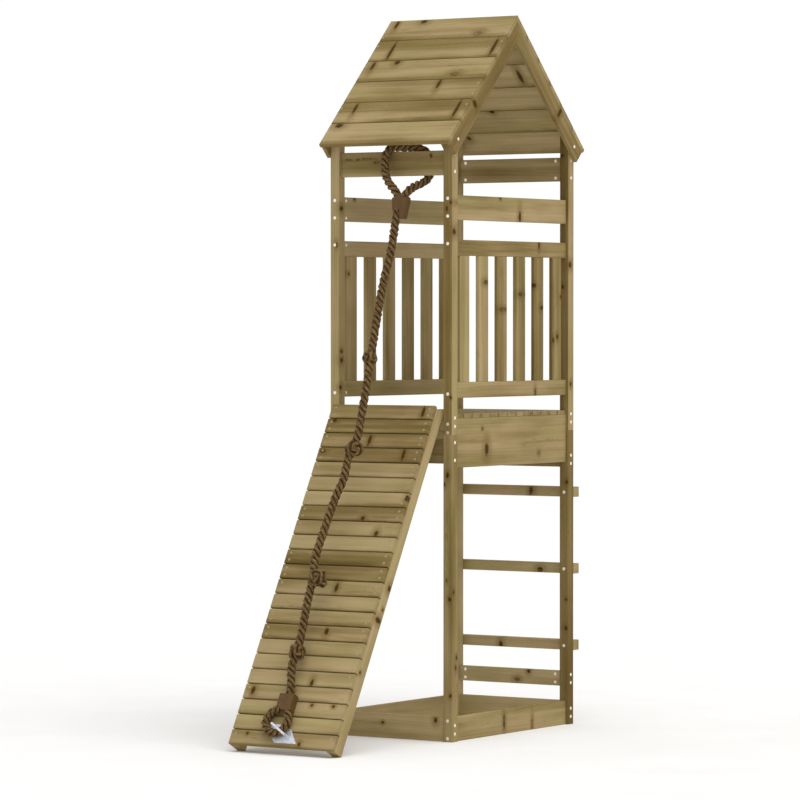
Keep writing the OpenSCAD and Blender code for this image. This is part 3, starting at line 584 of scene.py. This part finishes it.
def wood_material(name, origin, axes, seed, width, tones, pitch=None, chance=KNOT_CHANCE, marks=(),
                  around=False):
    """Pine for a board, or for planks a pitch apart along the across axis, with a tone for each.

    axes are the directions along, across and through the board. A mark is a knot: plank number, place along
    in millimetres, where it starts and ends across the plank as shares of its width, and half its size along
    in millimetres. A sixth value is the least distance from its middle that counts, as a share of its size:
    under 1 it makes a pale knot, over 1 a stain.
    With around, for square bars, shares over 1 lie on the next side, and a second tone is for the right side.
    """
    material, t, shader = new_material(f"{name}_pine")
    rel = t.vector("SUBTRACT", t.add("ShaderNodeTexCoord").outputs["Object"], tuple(origin))
    l, a, d = (t.vector("DOT_PRODUCT", rel, tuple(axis)) for axis in axes)
    plank, board_seed, tone, rim = 0.0, seed, tones[0], 0.0
    if pitch:
        plank = t.math("FLOOR", t.math("DIVIDE", a, pitch))
        a = t.math("SUBTRACT", a, t.math("MULTIPLY", t.math("ADD", plank, 0.5), pitch))
        # Rim runs from 0 at one long edge of the plank to 1 at the other, which is the lower edge on the ramp
        # and the roof; the painted shade and weathering lie towards it
        rim = t.math("ADD", t.math("DIVIDE", a, pitch), 0.5)
        board_seed = t.math("MULTIPLY_ADD", plank, PLANK_SEED_STEP, seed)
        share = t.math("DIVIDE", t.math("ADD", plank, 0.5), len(tones))
        stops = [(i / len(tones), (v, v, v, 1)) for i, v in enumerate(tones)]
        tone = t.ramp(share, stops, "CONSTANT")
    if around:
        facing = t.vector("DOT_PRODUCT", t.add("ShaderNodeNewGeometry").outputs["Normal"], tuple(X))
        tone = t.math("MULTIPLY_ADD", t.smooth(facing, 0.3, 0.9), tones[-1] - tones[0], tones[0])
    nearest = FAR_OFF
    spot = t.join(l, t.math("ADD", t.math("ADD", a, d), width / 2) if around else a, plank)
    for number, along, start, stop, half, *pale in marks:
        middle = (along / 1000, ((start + stop) / 2 - 0.5) * width, number)
        sizes = (half / 1000 / KNOT_RIM, (stop - start) / 2 * width, 0.1)
        far = t.vector("LENGTH", t.vector("DIVIDE", t.vector("SUBTRACT", spot, middle), sizes))
        if pale:
            far = t.math("MAXIMUM", far, pale[0])
        nearest = t.math("MINIMUM", nearest, far)
    group = t.add("ShaderNodeGroup", node_tree=PINE)
    for key, value in (("Place", t.join(l, a, d)), ("Axis", tuple(axes[0])), ("Seed", board_seed),
                       ("Tone", tone), ("Chance", chance), ("Width", width), ("Marks", nearest), ("Rim", rim)):
        t.put(value, group.inputs[key])
    for key, socket in (("Color", "Base Color"), ("Roughness", "Roughness"), ("Normal", "Normal")):
        t.put(group.outputs[key], shader.inputs[socket])
    shader.inputs["Specular IOR Level"].default_value = 0.1
    return material


# Single boards: tone of each, 0 light to 1 dark
BOARD_SEED = 1.13
BOARD_TONES = {
    "front_top_rail": 0.5, "back_top_rail": 0.46, "right_side_rail": 0.36, "left_side_rail": 0.17,
    "right_panel_top_rail": 0.6, "right_panel_bottom_rail": 0.48, "left_panel_top_rail": 0.2,
    "left_panel_bottom_rail": 0.15, "right_deck_board": 0.45, "left_deck_board": 0.4,
    "front_deck_board": 0.56, "front_deck_rail": 0.45, "back_deck_rail": 0.45, "back_lower_rail": 0.45,
    "right_base_board": 0.44, "left_base_board": 0.3, "front_base_board": 0.1, "back_base_board": 0.17,
    "ladder_brace": 0.16, "low_rung": 0.26, "middle_rung": 0.26, "high_rung": 0.3,
}
# Tones of the posts, lower and upper, each for the front and for the right side
POST_TONES = {
    "front_left_lower_post": (0.4, 0.4), "front_left_upper_post": (0.24, 0.34),
    "front_right_lower_post": (0.31, 0.42), "front_right_upper_post": (0.68, 0.34),
    "back_left_lower_post": (0.3, 0.16), "back_left_upper_post": (0.4, 0.35),
    "back_right_lower_post": (0.67, 0.84), "back_right_upper_post": (0.8, 0.45),
}
# Knots and stains the photograph shows, from the board's middle along it, and across it from its top or
# front edge
BOARD_MARKS = {
    "front_top_rail": [
        (0, 0, 0.1, 0.28, 250, 1.7), (0, -148, 0.25, 0.33, 12, 0.8), (0, -121, 0.26, 0.33, 8, 0.8),
        (0, -89, 0.22, 0.32, 28, 0.9), (0, -54, 0.36, 0.48, 10, 0.8), (0, 130, 0.07, 0.31, 4, 0.7),
    ],
    "right_deck_board": [
        (0, -135, 0.51, 0.79, 9), (0, -157, 0.2, 0.26, 4, 0.9), (0, 150, 0.74, 0.82, 5, 0.9),
    ],
    "right_base_board": [(0, -40, 0.15, 0.8, 5, 0.75), (0, 114, 0.5, 1.0, 4, 0.85)],
    "right_side_rail": [(0, 44, 0.5, 1.05, 6)],
    "right_panel_top_rail": [(0, 151, -0.1, 0.5, 4)],
    "right_panel_bottom_rail": [(0, 130, 0.5, 1.05, 4, 0.8)],
    "front_base_board": [(0, 146, 0.03, 0.28, 5)],
    "ladder_brace": [(0, 65, 0.0, 0.3, 5), (0, 25, 0.58, 0.85, 7, 0.9)],
    "high_rung": [(0, 60, 0.05, 0.95, 6, 0.7)],
    "middle_rung": [(0, 92, 0.45, 1.0, 8, 0.7)],
    "low_rung": [(0, -45, 0.4, 1.1, 6)],
}
# Those of the posts: height, then across the front and on round the right side
POST_MARKS = {
    "front_right": [
        (403, 0.55, 0.9, 6), (131, 0.65, 0.95, 5), (753, 0.3, 0.66, 8), (727, 0.0, 0.24, 5),
        (456, 0.3, 0.45, 4), (1503, 0.25, 0.55, 7), (972, 0.7, 0.95, 4), (424, 1.1, 1.4, 6),
        (238, 1.6, 1.95, 6), (210, 1.5, 1.8, 7), (1439, 1.0, 1.7, 8), (1210, 0.35, 0.6, 130, 1.7),
    ],
    "back_right": [
        (1673, 0.1, 0.5, 5), (1288, 0.15, 0.5, 6), (714, 0.6, 1.0, 5), (284, 0.5, 0.95, 6),
        (1353, 1.0, 1.6, 8), (1002, 1.25, 1.6, 6),
    ],
    "front_left": [
        (1510, 1.1, 1.7, 7), (1405, 0.55, 0.85, 6), (1075, 1.1, 1.7, 7), (1100, 1.2, 1.6, 5),
        (998, 1.0, 1.5, 6),
    ],
}
for number, name in enumerate([*BOARD_TONES, *POST_TONES]):
    lo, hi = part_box(name)
    sides = sorted(zip(hi - lo, (X, Y, -Z)), key=lambda pair: -pair[0])
    marks = BOARD_MARKS.get(name, ())
    if name in POST_TONES:
        middle_z = 500 * (lo.z + hi.z)
        marks = [(0, middle_z - z, *mark) for z, *mark in POST_MARKS.get(name.rsplit("_", 2)[0], ())]
    tones = POST_TONES.get(name) or (BOARD_TONES[name],)
    dress(name, wood_material(name, (lo + hi) / 2, [axis for _, axis in sides], BOARD_SEED + SEED_STEP * number,
                              sides[1][0], tones, marks=marks, around=name.endswith(("_post", "_rung"))))

# Sloping boards
BARGES = ("front_left_barge", "front_right_barge", "back_left_barge", "back_right_barge")
BARGE_W = 0.045
BARGE_TONE, STRINGER_TONE = 0.66, 0.17
BARGE_SEED, STRINGER_SEED = 31.4, 37.2
SLOPE_CHANCE = 0.2
SLOPE_MARKS = {
    "front_right_barge": [
        (0, 70, 0.1, 0.9, 8), (0, -215, 0.3, 0.6, 70, 1.5), (0, 10, 0.3, 0.6, 45, 1.6),
        (0, 165, 0.35, 0.6, 40, 1.6),
    ],
    "back_right_barge": [(0, 76, 0.0, 1.0, 6)],
    "right_stringer": [(0, -19, 0.0, 0.45, 8), (0, -120, 0.0, 0.9, 7)],
}
for number, name in enumerate(BARGES):
    lo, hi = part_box(name)
    along = Vector((0, -1 if name.startswith("front") else 1, -1)).normalized()
    dress(name, wood_material(name, (lo + hi) / 2, (along, along.cross(X), X), BARGE_SEED + SEED_STEP * number,
                              BARGE_W, [BARGE_TONE], chance=SLOPE_CHANCE, marks=SLOPE_MARKS.get(name, ())))
for number, name in enumerate(("left_stringer", "right_stringer")):
    lo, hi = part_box(name)
    dress(name, wood_material(name, (lo + hi) / 2, (UP_RAMP, OFF_RAMP, X), STRINGER_SEED + SEED_STEP * number,
                              STRINGER_D / 1000, [STRINGER_TONE], chance=SLOPE_CHANCE,
                              marks=SLOPE_MARKS.get(name, ())))

# Rows of planks, counted from the top of the ramp, the ridge and the front
RAMP_SEED = 41.9
RAMP_CHANCE = 0.05
RAMP_TONES = [0.52, 0.62, 0.54, 0.66, 0.28, 0.26, 0.2, 0.66, 0.32, 0.26, 0.72, 0.68,
              0.42, 0.36, 0.34, 0.44, 0.28, 0.22, 0.18, 0.26, 0.28, 0.25, 0.34]
RAMP_MARKS = [
    (0, 141, 0.1, 0.9, 5), (1, -150, 0.0, 0.3, 7), (2, -11, 0.05, 0.92, 5), (3, -158, 0.15, 0.45, 8),
    (3, 117, 0.05, 0.9, 5), (6, 171, 0.15, 0.6, 5), (7, 45, 0.65, 0.97, 6), (8, 105, 0.6, 1.0, 6),
    (12, 28, 0.2, 0.8, 5), (15, 39, 0.1, 0.65, 6), (18, 41, 0.5, 1.0, 5), (19, -145, 0.15, 0.75, 6),
    (20, 64, 0.1, 0.3, 4), (20, 135, 0.1, 0.3, 4), (22, 60, 0.6, 0.9, 4), (22, -120, 0.15, 0.35, 4),
    (1, 80, 0.5, 0.62, 130, 1.6), (7, 40, 0.2, 0.35, 190, 1.6), (15, -20, 0.2, 0.36, 200, 1.7),
]
ramp_edge = at(0, RAMP_TOP_Y, RAMP_TOP_Z) + RAMP_GAP / 2000 * UP_RAMP
dress("ramp_planks", wood_material("ramp_planks", ramp_edge, (X, -UP_RAMP, OFF_RAMP), RAMP_SEED,
                                   RAMP_PITCH / 1000, RAMP_TONES, RAMP_PITCH / 1000, RAMP_CHANCE, RAMP_MARKS))

ROOF_PITCH = 0.0884
ROOF_GAP = 0.0015
# Front slope: seed, chance of a knot, tones and marks
FRONT_ROOF = (52.3, 0.02, [0.34, 0.5, 0.32, 0.5, 0.5, 0.26], [
    (0, -189, 0.0, 0.42, 5), (0, -98, 0.0, 0.2, 9), (0, 115, 0.72, 0.94, 12, 0.95), (1, -155, 0.05, 1.0, 5),
    (1, 196, 0.05, 0.96, 5), (2, -189, 0.0, 0.45, 5), (2, -110, 0.0, 0.22, 8), (2, 113, 0.68, 0.9, 12, 0.95),
    (3, 78, 0.0, 0.46, 5), (4, -164, 0.05, 0.55, 5), (4, 188, 0.0, 0.93, 5), (5, -185, 0.0, 0.22, 11),
    (0, 0, 0.88, 0.96, 300, 1.5), (2, 0, 0.88, 0.97, 300, 1.6), (5, 0, 0.86, 0.95, 300, 1.8),
    (1, 0, 0.15, 0.36, 300, 2.1), (4, 0, 0.1, 0.34, 300, 2.1),
])
# Back slope, whose inner side shows
BACK_ROOF = (57.4, 0.12, [0.3, 0.34, 0.28, 0.43, 0.42, 0.28], [
    (2, 134, 0.2, 0.85, 6), (4, -22, -0.05, 0.12, 7), (5, -148, 0.1, 0.3, 7),
])
for name, side, (seed, chance, tones, marks) in (("front_roof_planks", -1, FRONT_ROOF),
                                                 ("back_roof_planks", 1, BACK_ROOF)):
    lo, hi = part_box(name)
    down = Vector((0, side, -1)).normalized()
    ridge = Vector((0, hi.y if side < 0 else lo.y, hi.z)) - ROOF_GAP / 2 * down
    dress(name, wood_material(name, ridge, (X, down, X.cross(down)), seed, ROOF_PITCH, tones, ROOF_PITCH,
                              chance, marks))

ROW_CHANCE = 0.3


def across_row(name, along, depth, width, tones, seed, marks=()):
    """Dresses boards that lie side by side along y."""
    lo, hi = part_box(name)
    pitch = (hi.y - lo.y - width) / (len(tones) - 1)
    start = Vector(((lo.x + hi.x) / 2, lo.y - (pitch - width) / 2, (lo.z + hi.z) / 2))
    dress(name, wood_material(name, start, (along, Y, depth), seed, pitch, tones, pitch, ROW_CHANCE, marks))


DECK_PLANK_W, SLAT_W = 0.044, 0.051
DECK_SEED, LEFT_SLAT_SEED, RIGHT_SLAT_SEED = 61.7, 71.3, 76.0
DECK_TONES = [0.42, 0.46, 0.4, 0.44, 0.48, 0.41, 0.44, 0.4, 0.46, 0.42, 0.45, 0.4, 0.44]
LEFT_SLAT_TONES = [0.4, 0.45, 0.43, 0.56, 0.43, 0.56]
RIGHT_SLAT_TONES = [0.24, 0.32, 0.61, 0.56, 0.64, 0.67]
SLAT_MARKS = [
    (1, -104, 0.5, 0.72, 6, 0.8), (2, -27, 0.3, 0.75, 5, 0.85), (3, -71, 0.35, 0.6, 6, 0.75),
    (3, -71, 0.68, 0.78, 5), (4, -97, 0.2, 0.35, 6), (4, -32, 0.55, 0.75, 6), (5, 62, 0.25, 0.35, 7),
    (5, 52, 0.45, 0.58, 6),
]
across_row("deck_planks", X, Z, DECK_PLANK_W, DECK_TONES, DECK_SEED)
across_row("left_panel_slats", -Z, X, SLAT_W, LEFT_SLAT_TONES, LEFT_SLAT_SEED)
across_row("right_panel_slats", -Z, X, SLAT_W, RIGHT_SLAT_TONES, RIGHT_SLAT_SEED, SLAT_MARKS)


# Zinc of the fasteners and the eye plate
def zinc_material(name, dark, light, metallic):
    material, t, shader = new_material(name)
    place = t.add("ShaderNodeTexCoord").outputs["Object"]
    flake = t.split(t.add("ShaderNodeTexVoronoi", {"Vector": place, "Scale": 420.0}).outputs["Color"])[0]
    smear = t.noise(place, 160.0, 3.0, 0.6)
    tone = t.math("MULTIPLY_ADD", flake, 0.45, t.math("MULTIPLY", smear, 0.55))
    t.put(t.ramp(tone, ((0.15, srgb(*dark)), (0.8, srgb(*light)))), shader.inputs["Base Color"])
    t.put(t.math("MULTIPLY_ADD", tone, 0.25, 0.32), shader.inputs["Roughness"])
    bump = t.add("ShaderNodeBump", {"Height": smear, "Strength": 0.15, "Distance": 0.0003})
    t.put(bump.outputs[0], shader.inputs["Normal"])
    shader.inputs["Metallic"].default_value = metallic
    return material


ZINCS = [
    (zinc_material("bright_zinc", (222, 214, 196), (252, 247, 234), 0.6),
     ("frame_bolts", "barrel_nuts", "rung_screws", "barge_screws")),
    (zinc_material("dull_zinc", (138, 122, 88), (176, 160, 122), 0.15),
     ("roof_screws", "deck_screws", "panel_screws", "ramp_screws", "ramp_fixing_screws")),
    (zinc_material("plate_zinc", (176, 178, 190), (236, 238, 246), 0.5), ("eye_plate", "plate_screws")),
]
for material, names in ZINCS:
    for name in names:
        dress(name, material)


# Stage: a white floor, an even white surround and one broad soft light
def floor():
    bm = bmesh.new()
    bmesh.ops.create_grid(bm, x_segments=4, y_segments=4, size=60)
    mesh = bpy.data.meshes.new("floor")
    bm.to_mesh(mesh)
    bm.free()
    piece = bpy.data.objects.new("floor", mesh)
    scene.collection.objects.link(piece)
    material, t, shader = new_material("floor_white")
    tone = t.noise(t.add("ShaderNodeTexCoord").outputs["Object"], 3.0)
    colour = t.ramp(tone, ((0.3, (0.93, 0.93, 0.93, 1)), (0.7, (0.96, 0.96, 0.96, 1))))
    t.put(colour, shader.inputs["Base Color"])
    shader.inputs["Roughness"].default_value = 0.9
    shader.inputs["Specular IOR Level"].default_value = 0.0
    mesh.materials.append(material)


floor()
# The surround is white to the camera and in reflections, and gives less light than that
FILL = 0.6
SEEN_WHITE = 1.02
world = bpy.data.worlds.new("studio")
scene.world = world
world.use_nodes = True
w = Tree(world.node_tree)
background = world.node_tree.nodes["Background"]
background.inputs["Color"].default_value = (1, 1, 1, 1)
ray = w.add("ShaderNodeLightPath").outputs
seen = w.math("MAXIMUM", ray["Is Camera Ray"], ray["Is Glossy Ray"])
w.put(w.math("MULTIPLY_ADD", seen, SEEN_WHITE - FILL, FILL), background.inputs["Strength"])

sun = bpy.data.lights.new("sky_panel", "SUN")
sun.energy = 1.65
sun.angle = math.radians(60)
sun.color = (1.0, 0.99, 0.965)
sun_object = bpy.data.objects.new("sky_panel", sun)
sun_object.rotation_euler = Vector((-0.38, 0.09, -0.92)).to_track_quat("-Z", "Y").to_euler()
scene.collection.objects.link(sun_object)
